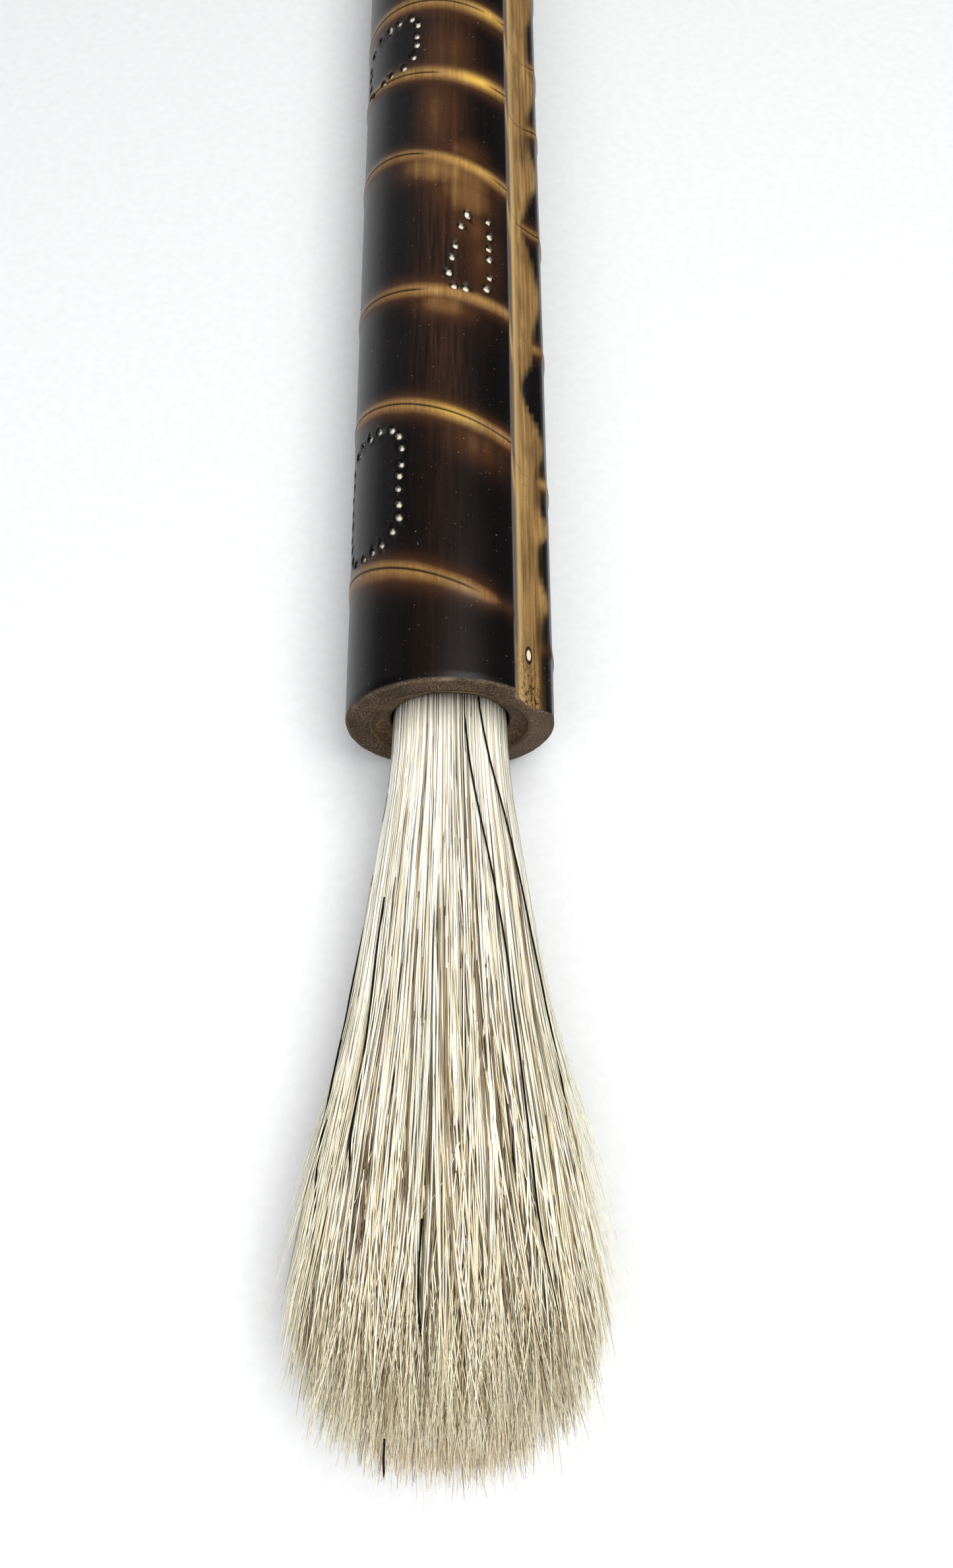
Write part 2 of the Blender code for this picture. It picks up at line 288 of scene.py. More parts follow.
def value_noise(x, y, seed):
    """Smooth noise from -1 to 1, with one cell to each unit of x and y."""
    cells = 256
    table = np.random.default_rng(seed).uniform(-1, 1, (cells, cells))
    xi = np.floor(x).astype(int)
    yi = np.floor(y).astype(int)
    fx = smooth(0, 1, x - xi)
    fy = smooth(0, 1, y - yi)
    left, right = xi % cells, (xi + 1) % cells
    low, high = yi % cells, (yi + 1) % cells
    near = table[left, low] * (1 - fx) + table[right, low] * fx
    far = table[left, high] * (1 - fx) + table[right, high] * fx
    return near * (1 - fy) + far * fy


def add_piece(name, points, faces, material, masks=None, loop_uv=None):
    """A mesh object from arrays. masks are values on its points, which the materials read by name."""
    mesh = bpy.data.meshes.new(name)
    mesh.from_pydata(np.asarray(points).tolist(), [], faces)
    for key, values in (masks or {}).items():
        layer = mesh.attributes.new(key, "FLOAT", "POINT")
        layer.data.foreach_set("value", np.asarray(values, np.float32))
    if loop_uv is not None:
        layer = mesh.uv_layers.new(name="OFBake")
        layer.data.foreach_set("uv", loop_uv(mesh).astype(np.float32).ravel())
    mesh.shade_smooth()
    mesh.materials.append(material)
    made = bpy.data.objects.new(name, mesh)
    bpy.context.scene.collection.objects.link(made)
    return made


def loop_points(mesh):
    """The index of each face corner's point."""
    found = np.empty(len(mesh.loops), np.int32)
    mesh.loops.foreach_get("vertex_index", found)
    return found


def circle(radius, y, z, angles):
    """A ring of points round the line at a height z, at a place y along it."""
    turn = np.radians(angles)
    return np.stack([radius * np.sin(turn), np.full(len(turn), y), z + radius * np.cos(turn)], 1)


def closed_rings(rows, sides):
    """Quads over rings of points, and from the last ring back to the first."""
    faces = []
    for row in range(rows):
        here = row * sides
        there = (row + 1) % rows * sides
        for side in range(sides):
            beside = (side + 1) % sides
            faces.append((here + side, here + beside, there + beside, there + side))
    return faces


# ---- Materials ----


class Graph:
    """A node material, written as nested calls. Sizes of patterns are in millimetres."""

    def __init__(self, name):
        self.material = bpy.data.materials.new(name)
        self.material.use_nodes = True
        self.nodes = self.material.node_tree.nodes
        self.links = self.material.node_tree.links
        self.shader = self.nodes["Principled BSDF"]
        place = self.nodes.new("ShaderNodeTexCoord")
        self.place = place.outputs["Object"]

    def feed(self, socket, value):
        """Links a socket, or sets its number or colour."""
        if isinstance(value, bpy.types.NodeSocket):
            self.links.new(value, socket)
        elif socket.type == "RGBA":
            socket.default_value = (*value, 1.0)
        else:
            socket.default_value = value

    def mask(self, name):
        """A value on the piece's points."""
        made = self.nodes.new("ShaderNodeAttribute")
        made.attribute_name = name
        return made.outputs["Fac"]

    def vector(self, operation, a):
        """A vector operation, with its second input still to be set."""
        made = self.nodes.new("ShaderNodeVectorMath")
        made.operation = operation
        self.links.new(a, made.inputs[0])
        return made

    def noise(self, size, detail=3.0, rough=0.55):
        """Noise with cells of a size along each axis."""
        stretched = self.nodes.new("ShaderNodeMapping")
        self.links.new(self.place, stretched.inputs["Vector"])
        stretched.inputs["Scale"].default_value = [1 / (s * MM) for s in size]
        made = self.nodes.new("ShaderNodeTexNoise")
        self.links.new(stretched.outputs["Vector"], made.inputs["Vector"])
        made.inputs["Scale"].default_value = 1.0
        made.inputs["Detail"].default_value = detail
        made.inputs["Roughness"].default_value = rough
        return made.outputs["Fac"]

    def ramp(self, value, *stops):
        """Colours or grey levels at places from 0 to 1."""
        made = self.nodes.new("ShaderNodeValToRGB")
        self.links.new(value, made.inputs["Fac"])
        elements = made.color_ramp.elements
        for index, (place, color) in enumerate(stops):
            element = elements[index] if index < 2 else elements.new(place)
            element.position = place
            element.color = (*color, 1.0) if isinstance(color, tuple) else (color, color, color, 1.0)
        return made.outputs["Color"]

    def spot(self, centre, size, edge):
        """1 within a size of a place, with an edge as a share of it."""
        away = self.vector("SUBTRACT", self.place)
        away.inputs[1].default_value = centre
        scaled = self.vector("MULTIPLY", away.outputs["Vector"])
        scaled.inputs[1].default_value = [1 / (s * MM) for s in size]
        length = self.vector("LENGTH", scaled.outputs["Vector"])
        reach = self.math("SUBTRACT", 1.0 + edge, length.outputs["Value"])
        return self.math("DIVIDE", reach, edge, clamp=True)

    def math(self, operation, a, b, clamp=False):
        made = self.nodes.new("ShaderNodeMath")
        made.operation = operation
        made.use_clamp = clamp
        self.feed(made.inputs[0], a)
        self.feed(made.inputs[1], b)
        return made.outputs[0]

    def mix(self, factor, a, b, blend="MIX"):
        made = self.nodes.new("ShaderNodeMix")
        made.data_type = "RGBA"
        made.blend_type = blend
        self.feed(made.inputs["Factor"], factor)
        self.feed(made.inputs["A"], a)
        self.feed(made.inputs["B"], b)
        return made.outputs["Result"]

    def times(self, color, other):
        return self.mix(1.0, color, other, "MULTIPLY")

    def bump(self, height, distance):
        """Relief of a depth in millimetres."""
        made = self.nodes.new("ShaderNodeBump")
        made.inputs["Distance"].default_value = distance * MM
        made.inputs["Strength"].default_value = 1.0
        self.links.new(height, made.inputs["Height"])
        self.links.new(made.outputs["Normal"], self.shader.inputs["Normal"])

    def set(self, **values):
        """Sets or links the shader's own inputs, and gives the finished material."""
        for name, value in values.items():
            self.feed(self.shader.inputs[name.replace("_", " ")], value)
        return self.material


def burnt_skin(g, fibre, cloud):
    """Black lacquer, with umber where it is rubbed, and red brown to amber where the fire spared the skin."""
    black = g.ramp(cloud, (0.3, (0.0013, 0.0008, 0.0010)), (0.7, (0.0030, 0.0018, 0.0020)))
    umber = g.ramp(fibre, (0.3, (0.012, 0.0060, 0.0045)), (0.7, (0.046, 0.0215, 0.0125)))
    amber = g.ramp(
        fibre,
        (0.25, (0.20, 0.097, 0.026)),
        (0.55, (0.32, 0.185, 0.062)),
        (0.80, (0.40, 0.25, 0.098)),
    )
    rubbed = g.math("MULTIPLY", g.math("ADD", fibre, 0.5), g.mask("umber"), clamp=True)
    color = g.mix(rubbed, black, umber)
    spared = g.math("ADD", g.math("MULTIPLY", cloud, 0.7), 0.65)
    glow = g.math("MULTIPLY", spared, g.mask("amber"), clamp=True)
    color = g.mix(g.ramp(glow, (0.0, 0.0), (0.32, 1.0)), color, (0.070, 0.028, 0.011))
    color = g.mix(g.ramp(glow, (0.18, 0.0), (0.92, 1.0)), color, amber)
    return g.mix(g.mask("yellow"), color, (0.70, 0.45, 0.07))


def groove_ground(g, color, speck):
    """Golden ground in the groove, with its pale band of painted highlight, its side in painted shade, its
    wall grey with a painted reflection, and its scorched end and chip.
    """
    ground = g.ramp(
        g.noise((0.34, 12.0, 0.34), 3.0, 0.6),
        (0.26, (0.090, 0.044, 0.015)),
        (0.42, (0.235, 0.130, 0.042)),
        (0.58, (0.34, 0.205, 0.072)),
        (0.76, (0.45, 0.300, 0.125)),
    )
    pepper = g.ramp(speck, (0.26, 0.35), (0.38, 1.0))
    patches = g.ramp(g.noise((1.3, 6.0, 1.3), 1.0), (0.34, 0.62), (0.56, 1.0))
    color = g.mix(g.mask("groove"), color, g.times(g.times(ground, pepper), patches))
    color = g.mix(g.math("MULTIPLY", g.mask("shaded"), 0.5), color, (0.050, 0.022, 0.010))
    # The pale mask: a painted highlight along the groove's middle, and pale strips where the node rings run
    # over its wall
    color = g.mix(g.math("MULTIPLY", g.mask("pale"), 0.85), color, (0.58, 0.385, 0.150))
    burn = g.ramp(g.noise((0.30, 0.55, 0.30), 3.0, 0.7), (0.40, 1.0), (0.50, 0.0))
    color = g.mix(g.math("MULTIPLY", burn, g.mask("burn")), color, (0.020, 0.009, 0.004))
    # A painted reflection on the groove's wall, grey
    color = g.mix(g.math("MULTIPLY", g.mask("wall"), 0.85), color, (0.085, 0.068, 0.070))
    color = g.mix(g.spot(CHIP, CHIP_RIM_SIZE, CHIP_EDGE), color, (0.010, 0.004, 0.002))
    return g.mix(g.spot(CHIP, CHIP_SIZE, CHIP_EDGE), color, (0.62, 0.53, 0.39))


def marks(g, color):
    """The dark lines of the node rings, and the scars: painted shade in their pits, and their pale pith."""
    color = g.mix(g.mask("line"), color, (0.010, 0.004, 0.002))
    # Painted shade in the scars' pits
    color = g.mix(g.mask("pit"), color, (0.0025, 0.002, 0.002))
    return g.mix(g.mask("pith"), color, (0.66, 0.60, 0.47))


def cut_ends(g, color):
    """Brown end grain where the bamboo is cut. It is paler with wear at the face's edge, and paler towards the
    face's right side as painted light.
    """
    grain = g.ramp(
        g.noise((0.22, 0.22, 0.22), 4.0, 0.7),
        (0.34, (0.0065, 0.0030, 0.0020)),
        (0.50, (0.050, 0.0295, 0.0165)),
        (0.66, (0.195, 0.136, 0.084)),
    )
    stain = g.ramp(g.noise((3.2, 3.2, 3.2), 3.0), (0.35, 0.55), (0.65, 1.15))
    color = g.mix(g.mask("cut"), color, g.times(grain, stain))
    # Paler with wear at the face's edge, and with painted light towards the face's right side
    return g.mix(g.mask("wear_and_light"), color, (0.27, 0.20, 0.14))


def bamboo_material():
    """Burnt and lacquered bamboo, raw where it is cut, with a little pale dust."""
    g = Graph("burnt_bamboo")
    fibre = g.noise((0.35, 9.0, 0.35), 4.0, 0.6)
    cloud = g.noise((2.6, 5.0, 2.6), 3.0)
    speck = g.noise((0.16, 0.20, 0.16), 2.0)
    color = burnt_skin(g, fibre, cloud)
    color = groove_ground(g, color, speck)
    color = cut_ends(g, marks(g, color))
    dust = g.ramp(g.noise((0.30, 0.30, 0.30), 1.0), (0.745, 0.0), (0.80, 0.45))
    color = g.mix(dust, color, (0.30, 0.26, 0.23))
    raw = g.math("MAXIMUM", g.mask("cut"), g.math("MULTIPLY", g.mask("groove"), 0.55))
    grit = g.ramp(g.noise((0.10, 0.35, 0.10), 3.0), (0.3, 0.0), (0.7, 0.05))
    level = g.math("ADD", g.ramp(raw, (0.0, 0.31), (1.0, 0.80)), grit)
    g.bump(g.math("ADD", g.math("MULTIPLY", fibre, 0.5), g.math("MULTIPLY", speck, 0.2)), 0.02)
    return g.set(Base_Color=color, Roughness=level, Specular_IOR_Level=0.16)


def bush_material():
    """Dull brown end grain, darker round the hole."""
    g = Graph("bush_wood")
    grain = g.noise((0.28, 0.28, 0.28), 4.0, 0.7)
    stain = g.noise((2.4, 2.4, 2.4), 3.0)
    color = g.ramp(
        grain,
        (0.32, (0.022, 0.011, 0.006)),
        (0.52, (0.105, 0.062, 0.032)),
        (0.70, (0.240, 0.165, 0.098)),
    )
    color = g.times(color, g.ramp(stain, (0.35, 0.50), (0.65, 1.10)))
    color = g.mix(g.mask("rim"), color, (0.016, 0.007, 0.004))
    g.bump(grain, 0.08)
    return g.set(Base_Color=color, Roughness=g.ramp(grain, (0.3, 0.42), (0.7, 0.66)), Specular_IOR_Level=0.22)


def plain_material(name, dark, light, roughness, size=(0.3, 0.3, 0.3), relief=0.03, specular=0.5):
    """Two close colours in a fine noise, with a little relief."""
    g = Graph(name)
    pattern = g.noise(size, 3.0)
    g.bump(pattern, relief)
    color = g.ramp(pattern, (0.3, dark), (0.7, light))
    level = g.ramp(pattern, (0.3, roughness), (0.7, roughness + 0.12))
    return g.set(Base_Color=color, Roughness=level, Specular_IOR_Level=specular)


def hair_material(name, tones, tip_tint_and_light):
    """Each hair has its own shade. Towards its tip it is tinted, and the cream hairs brightened as painted
    light; along it run streaks of painted shade, as between hairs; and at its root it is evened to a grey
    cream.
    """
    g = Graph(name)
    along = g.mask("along")
    shade = g.ramp(g.mask("shade"), *tones)
    # Streaks of painted shade along the hairs, as in the gaps between them
    gap_shade_streaks = g.ramp(g.noise((0.20, 5.0, 0.20), 1.0), (0.30, 0.72), (0.45, 0.96), (0.70, 1.04))
    # Tinted towards the tip; the cream hairs' tint also brightens them, as painted light on the tuft's end
    color = g.mix(g.ramp(along, (0.25, 0.0), (0.95, 1.0)), shade, g.times(shade, tip_tint_and_light))
    color = g.mix(g.ramp(along, (0.12, 0.0), (0.40, 1.0)), color, g.times(color, gap_shade_streaks))
    # Evened to a grey cream at the root, over the darker hairs
    color = g.mix(g.ramp(along, (0.04, 0.35), (0.26, 0.0)), color, (0.60, 0.575, 0.50))
    return g.set(Base_Color=color, Roughness=0.40, Specular_IOR_Level=0.4)


# ---- Handle ----


def node_lean(place):
    """How far the rows of the handle lean at a place: at the side and at the top."""
    places = [0.0] + [node.place * MM for node in NODES] + [HANDLE_LENGTH]
    side = [0.0] + [node.side_lean * MM for node in NODES] + [0.0]
    top = [0.0] + [node.top_lean * MM for node in NODES] + [0.0]
    return np.interp(place, places, side), np.interp(place, places, top)


def lean_of(place, angle):
    """How far a point of the handle is moved along it by the lean of the rings."""
    side, top = node_lean(place)
    turn = np.radians(angle)
    return side * np.sin(turn) + top * np.cos(turn)


def groove_depth(angle):
    return np.interp(angle, [a for a, _ in GROOVE], [d * MM for _, d in GROOVE], left=0.0, right=0.0)


def scars():
    """The row, angle and size of each rootlet scar: they stand in uneven loops with rounded corners."""
    rng = np.random.default_rng(11)
    found = []
    for place, angle, half_length, half_width, skew, count in SCAR_LOOPS:
        turn = np.linspace(0, 2 * math.pi, 361)
        across = np.sign(np.sin(turn)) * np.abs(np.sin(turn)) ** 0.5
        along = np.sign(np.cos(turn)) * np.abs(np.cos(turn)) ** 0.5
        step = np.hypot(np.diff(across) * half_width * 0.19, np.diff(along) * half_length)
        walked = np.concatenate([[0], np.cumsum(step)])
        stops = (np.arange(count) + rng.uniform(-0.16, 0.16, count)) / count * walked[-1]
        for x, y in zip(np.interp(stops, walked, across), np.interp(stops, walked, along)):
            at_angle = angle + x * half_width + rng.normal(0, 0.8) + skew * (x < 0) * (y + 1) / 2
            at_place = (place + y * half_length + rng.normal(0, 0.12)) * MM
            found.append((at_place - lean_of(at_place, at_angle), at_angle, rng.uniform(0.85, 1.1)))
    return found


def around_scars(place, angle):
    """For each scar: which points are near it, and how far from its middle, as shares of its radius."""
    for centre, centre_angle, size in scars():
        near = np.abs(place - centre) < SCAR_REACH
        across = (angle[near] - centre_angle) * math.pi / 180 * HANDLE_RADIUS
        yield near, np.hypot(place[near] - centre, across) / (SCAR_RADIUS * size)


def handle_rows():
    """Places with a row of points: close together at each node's line, and wider apart in between."""
    steps = (0.0, 0.07, 0.15, 0.27, 0.45, 0.72, 1.1, 1.6)
    spacing = 0.8
    first = round(FACE_ROUNDING / MM, 3)
    last = round(BUTT_ROUNDING / MM, 3)
    end = HANDLE_LENGTH / MM
    rows = {round(sign * step + node.place, 3) for node in NODES for step in steps for sign in (-1, 1)}
    far = steps[-1] + spacing / 2
    spaced = np.arange(first, end - 1.5, spacing)
    rows |= {round(p, 3) for p in spaced if all(abs(p - node.place) > far for node in NODES)}
    rows |= {first, end - last}
    return np.array(sorted(rows)) * MM


def handle_columns():
    """Angles with a column of points: one each 3 degrees, and more in the groove."""
    low, high = GROOVE_COLUMNS[0] - 1, GROOVE_COLUMNS[-1] + 1
    plain = [float(a) for a in range(-180, 181, 3) if a < low or a > high]
    return np.array(sorted(plain + list(GROOVE_COLUMNS)))


def wander(angle, place, size_angle, size_place, seed):
    """Noise over the handle, with cells of a size in degrees and metres. It meets itself round the back."""
    turn = np.radians(angle)
    reach = 180 / math.pi / size_angle
    across = value_noise(np.sin(turn) * reach + 31.7, place / size_place, seed)
    return (across + value_noise(np.cos(turn) * reach + 77.3, place / size_place + 5.5, seed + 1)) * 0.6


def line_strength(node, angle):
    """How strong the dark line of a node ring is: 0 in its gap."""
    low, high = node.line_gap
    wrapped = np.where(angle < low - 180, angle + 360, angle)
    return 1 - between(wrapped, low, high, 10.0)


def relief(place, angle):
    """Height of the handle's surface over its plain radius."""
    height = -groove_depth(angle)
    in_groove = between(angle, GROOVE_START, GROOVE_END)
    for node in NODES:
        away = place - node.place * MM
        ridge = RING_HEIGHT * bell(away, RING_WIDTH) * (1 - 0.7 * in_groove)
        notch = LINE_DEPTH * bell(away, LINE_WIDTH) * line_strength(node, angle)
        height = height + ridge - notch
    height = height + SWELLING * wander(angle, place, 26.0, 9 * MM, 3)
    height = height + in_groove * GROOVE_UNEVENNESS * value_noise(angle / 2.3, place / (14 * MM), 8)
    for near, away in around_scars(place, angle):
        pit = -SCAR_DEPTH * (1 - smooth(0.55, 1.0, away)) + SCAR_RIM * bell(away - 1.15, 0.25)
        core = SCAR_CORE * (1 - smooth(0.0, 0.55, away))
        height[near] = height[near] + pit + core
    return height


def ring_masks(place, angle):
    """The node rings' amber bands, dark lines and yellow stretches, and their glow over the groove's wall."""
    amber, line, yellow, glow = (np.zeros_like(place) for _ in range(4))
    for node in NODES:
        away = place - node.place * MM
        strength = line_strength(node, angle)
        width = np.where(away > 0, 0.85, 1.00) * MM * (1 + 0.2 * wander(angle, place, 30, 20 * MM, 33))
        warm = bell(angle - node.warm_angle, node.warm_width)
        warmth = node.gold * (0.62 + 0.38 * warm)
        fade = 1 - 0.75 * (strength < 0.5) * smooth(20, 30, angle) * (node.place < 20)
        band = 0.64 * bell(away, 0.72 * width) + 0.34 * bell(away, 1.7 * width)
        amber = np.maximum(amber, warmth * np.minimum(band, 1.0) * fade)
        line = np.maximum(line, bell(away, 0.17 * MM) * strength)
        golden = (node.gold - 0.80) * 3.5
        yellow = np.maximum(yellow, bell(away, 0.7 * MM) * golden * bell(angle - node.warm_angle - 4, 12))
        flowing = away + 0.42 * MM * np.clip(angle - 36, 0, 14)
        glow = np.maximum(glow, bell(flowing, 1.9 * MM) * (node.place > 20))
    return amber, line, np.clip(yellow, 0, 1), glow


def groove_edge(place):
    """The angle at which the groove's pale ground ends."""
    edge = GROOVE_END - 5.0 + 1.2 * wander(place * 0, place, 9, 7 * MM, 21)
    for middle, length, reach in GROUND_REACH:
        edge = edge + reach * bell(place - middle * MM, length * MM)
    return edge


def umber_mask(place, angle, streak):
    """Umber along the handle's top, which fades towards its face, and along its underside."""
    top = bell(angle + 5 + 7 * wander(angle, place, 60, 30 * MM, 51), 17) * (0.52 + 0.40 * streak)
    top = top * (0.35 + 0.65 * smooth(26 * MM, 38 * MM, place))
    return np.maximum(top, 0.55 * bell(np.abs(angle) - 150, 30) * (0.4 + 0.6 * streak))


def scar_masks(place, angle):
    """Painted shade in the pits of the scars, and the pale pith in their middles."""
    pit = np.zeros_like(place)
    pith = np.zeros_like(place)
    for near, away in around_scars(place, angle):
        pit[near] = np.maximum(pit[near], 1 - smooth(0.85, 1.15, away))
        pith[near] = np.maximum(pith[near], 1 - smooth(0.40, 0.66, away))
    return pit, pith


def handle_masks(place, angle):
    """Where the handle's colours lie. Each is a value from 0 to 1 at each point."""
    edge = groove_edge(place)
    starts = smooth(GROOVE_START - 0.6, GROOVE_START + 1.0, angle)
    in_groove = starts * (1 - smooth(edge - 3.0, edge + 1.5, angle))
    clear = 1 - in_groove
    amber, line, yellow, glow = ring_masks(place, angle)
    streak = 0.5 + 0.5 * value_noise(angle / 1.6 + 200, place / (30 * MM), 40)
    for centre, middle, length, width, strength in WARM_PATCHES:
        patch = bell(place - centre * MM, length * MM) * bell(angle - middle, width)
        amber = np.maximum(amber, strength * patch * (0.6 + 0.5 * streak))
    # Where a painted reflection lies on the groove's wall
    wall = between(angle, GROOVE_START, GROOVE_START + 8.0, 3.0)
    # A painted highlight along the groove's middle, and pale strips where the node rings run over its wall
    pale = np.maximum(bell(angle - 50, 4.5) * (0.62 + 0.38 * streak), glow * bell(angle - 41, 5))
    shade = 0.55 + 0.45 * value_noise(place / (6 * MM), place * 0 + 3.3, 61)
    pit, pith = scar_masks(place, angle)
    return {
        "amber": amber * clear,
        "umber": umber_mask(place, angle, streak) * clear,
        "line": line * (1 - 0.6 * in_groove),
        "yellow": yellow * clear,
        "groove": in_groove,
        "wall": wall * (1 - glow) * smooth(6 * MM, 9.5 * MM, place),
        "pale": pale * in_groove,
        "burn": in_groove * (1 - smooth(3 * MM, 13 * MM, place)) * (0.5 + 0.5 * smooth(48, 56, angle)),
        "shaded": in_groove * smooth(55, 65, angle) * shade,
        # Painted shade in the scars' pits
        "pit": pit,
        "pith": pith,
    }


def grid_faces(grid):
    """Quads between the rows of a grid."""
    for low, high in zip(grid, grid[1:]):
        for column in range(len(low) - 1):
            yield low[column], low[column + 1], high[column + 1], high[column]


def refined_grid(rows, columns):
    """A flat mesh of (place, angle), finer at the scars. Its first points are the grid's, in order."""
    flat = bmesh.new()
    across = HANDLE_RADIUS * math.pi / 180
    grid = [[flat.verts.new((a * across, p, 0)) for a in columns] for p in rows]
    for corners in grid_faces(grid):
        flat.faces.new(corners)
    marked = set()
    centres = np.array([f.calc_center_median()[:2] for f in flat.faces])
    flat.faces.ensure_lookup_table()
    for place, angle, _ in scars():
        away = np.hypot(centres[:, 0] - angle * across, centres[:, 1] - place)
        marked |= set(np.nonzero(away < 0.72 * MM)[0].tolist())
    edges = {edge for index in marked for edge in flat.faces[index].edges}
    bmesh.ops.subdivide_edges(flat, edges=list(edges), cuts=3, use_grid_fill=True)
    flat.verts.index_update()
    spots = np.array([v.co for v in flat.verts])
    faces = [tuple(v.index for v in f.verts) for f in flat.faces]
    flat.free()
    return spots[:, 1], spots[:, 0] / across, faces


def end_rings(edge):
    """Rings of points over the butt, through the plug's seat, the canal and the bore, and over the face.

    Each is its reach at each column, its place along Y, and whether it is cut wood.
    """
    rings = []
    steps = 5
    for step in range(1, steps + 1):
        bend = math.pi / 2 * step / steps
        drop = BUTT_ROUNDING * (1 - math.cos(bend))
        y = BUTT_Y - BUTT_ROUNDING * (1 - math.sin(bend))
        rings.append((HANDLE_RADIUS - drop + edge, y, step / steps > 0.7))
    outer = HANDLE_RADIUS - BUTT_ROUNDING + edge
    for share in (0.8, 0.6, 0.4, 0.2, 0.0):
        rings.append((PLUG_RADIUS + (outer - PLUG_RADIUS) * share, BUTT_Y, True))
    hollow = (
        (PLUG_RADIUS, PLUG_FLOOR),
        (CANAL_RADIUS, PLUG_FLOOR),
        (CANAL_RADIUS, FACE_Y + BORE_DEPTH),
        (BORE_RADIUS, FACE_Y + BORE_DEPTH),
    )
    for reach, y in hollow:
        rings.append((np.full_like(edge, reach), y, True))
    outer = HANDLE_RADIUS - FACE_ROUNDING + edge
    for share in (0.0, 0.12, 0.3, 0.5, 0.7, 0.88, 1.0):
        rings.append((BORE_RADIUS + (outer - BORE_RADIUS) * share, FACE_Y, True))
    rings.append((HANDLE_RADIUS - 0.13 * MM + edge, FACE_Y + 0.06 * MM, True))
    return rings


def build_handle():
    """The handle's outside with its groove, node rings and scars, and its cut ends, bore and canal."""
    rows = handle_rows()
    columns = handle_columns()
    place, angle, faces = refined_grid(rows, columns)
    turn = np.radians(angle)
    radius = HANDLE_RADIUS + relief(place, angle)
    leaning = place + lean_of(place, angle)
    points = [np.stack([radius * np.sin(turn), FACE_Y + leaning, AXIS_Z + radius * np.cos(turn)], 1)]
    masks = {key: [values] for key, values in handle_masks(place, angle).items()}
    masks["cut"] = [np.zeros(len(place))]
    masks["wear_and_light"] = [np.zeros(len(place))]
    sides = len(columns)
    turn = np.radians(columns)
    rings = end_rings(-groove_depth(columns))
    for index, (reach, y, cut) in enumerate(rings):
        x = reach * np.sin(turn)
        z = reach * np.cos(turn)
        face = abs(y - FACE_Y) < MM
        rough = 0.05 * MM * value_noise(x / (0.7 * MM), z / (0.7 * MM), 71)
        points.append(np.stack([x, y + rough * face, AXIS_Z + z], 1))
        for key, values in masks.items():
            values.append(np.full(sides, float(cut) if key == "cut" else 0.0))
        if index >= len(rings) - 2:
            wear_and_light = value_noise(columns / 9.0, columns * 0, 72)
            masks["wear_and_light"][-1] = 0.12 + 0.5 * smooth(0.1, 0.9, wear_and_light)
        elif face:
            # Painted light: the face grows paler towards its right side
            masks["wear_and_light"][-1] = 0.03 + 0.19 * smooth(20, 110, columns)
    first = len(place)
    last_row = (len(rows) - 1) * sides
    starts = [last_row] + [first + index * sides for index in range(len(rings))] + [0]
    faces += grid_faces([range(start, start + sides) for start in starts])
    points = np.concatenate(points)
    masks = {key: np.concatenate(values) for key, values in masks.items()}
    made = add_piece("handle_skin", points, faces, bamboo_material(), masks)
    close_seam(made)
    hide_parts("bamboo_handle")
    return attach(made, "root")


def close_seam(piece):
    """Joins the first and last columns of points, which lie in the same places."""
    mesh = bmesh.new()
    mesh.from_mesh(piece.data)
    bmesh.ops.remove_doubles(mesh, verts=mesh.verts, dist=0.001 * MM)
    bmesh.ops.recalc_face_normals(mesh, faces=mesh.faces)
    mesh.to_mesh(piece.data)
    mesh.free()


# ---- Socket ----


def build_bush():
    """The bush: its front is dished towards the hole that holds the hair."""
    angles = np.arange(0, 360, 3.0)
    hole = ROOT_RADIUS + GAP
    grain = 0.6 * MM
    rings = []
    rim = []
    for share, depth in reversed(DISH):
        reach = BUSH_RADIUS + (hole - BUSH_RADIUS) * share
        ring = circle(reach, bush_low.y + depth * MM, AXIS_Z + (ROOT_Z - AXIS_Z) * share, angles)
        rough = 0.06 * MM * value_noise(ring[:, 0] / grain + 50, ring[:, 2] / grain, 73)
        ring[:, 1] += rough * (0 < share < 1)
        rings.append(ring)
        rim.append(np.full(len(angles), smooth(0.85, 1.0, share)))
    rings.append(circle(BUSH_RADIUS, bush_high.y, AXIS_Z, angles))
    rings.append(circle(hole, bush_high.y, ROOT_Z, angles))
    rim += [np.zeros(len(angles)), np.ones(len(angles))]
    faces = closed_rings(len(rings), len(angles))
    made = add_piece("bush_dish", np.concatenate(rings), faces, bush_material(), {"rim": np.concatenate(rim)})
    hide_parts("socket_bush")
    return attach(made, "root")


def build_glue_line():
    """The thin line of old glue that shows between the bush and the handle."""
    angles = np.arange(0, 360, 2.0)
    lift = 0.10 * MM * value_noise(angles / 7, angles * 0, 75)
    depth = 3 * MM
    front = (
        (BUSH_RADIUS - 0.02 * MM, 0.34 * MM),
        (BUSH_RADIUS + 0.12 * MM, 0.02 * MM),
        (BORE_RADIUS + 0.03 * MM, -0.05 * MM),
    )
    rings = []
    for reach, y in front:
        ring = circle(reach, FACE_Y + y, AXIS_Z, angles)
        ring[:, 1] += lift
        rings.append(ring)
    rings.append(circle(BORE_RADIUS - 0.01 * MM, FACE_Y + depth, AXIS_Z, angles))
    rings.append(circle(BUSH_RADIUS + 0.01 * MM, FACE_Y + depth, AXIS_Z, angles))
    faces = closed_rings(len(rings), len(angles))
    glue = plain_material("old_glue", (0.040, 0.022, 0.011), (0.12, 0.078, 0.040), 0.6, specular=0.25)
    made = add_piece("glue_line", np.concatenate(rings), faces, glue)
    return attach(made, "root")


# ---- Tuft ----


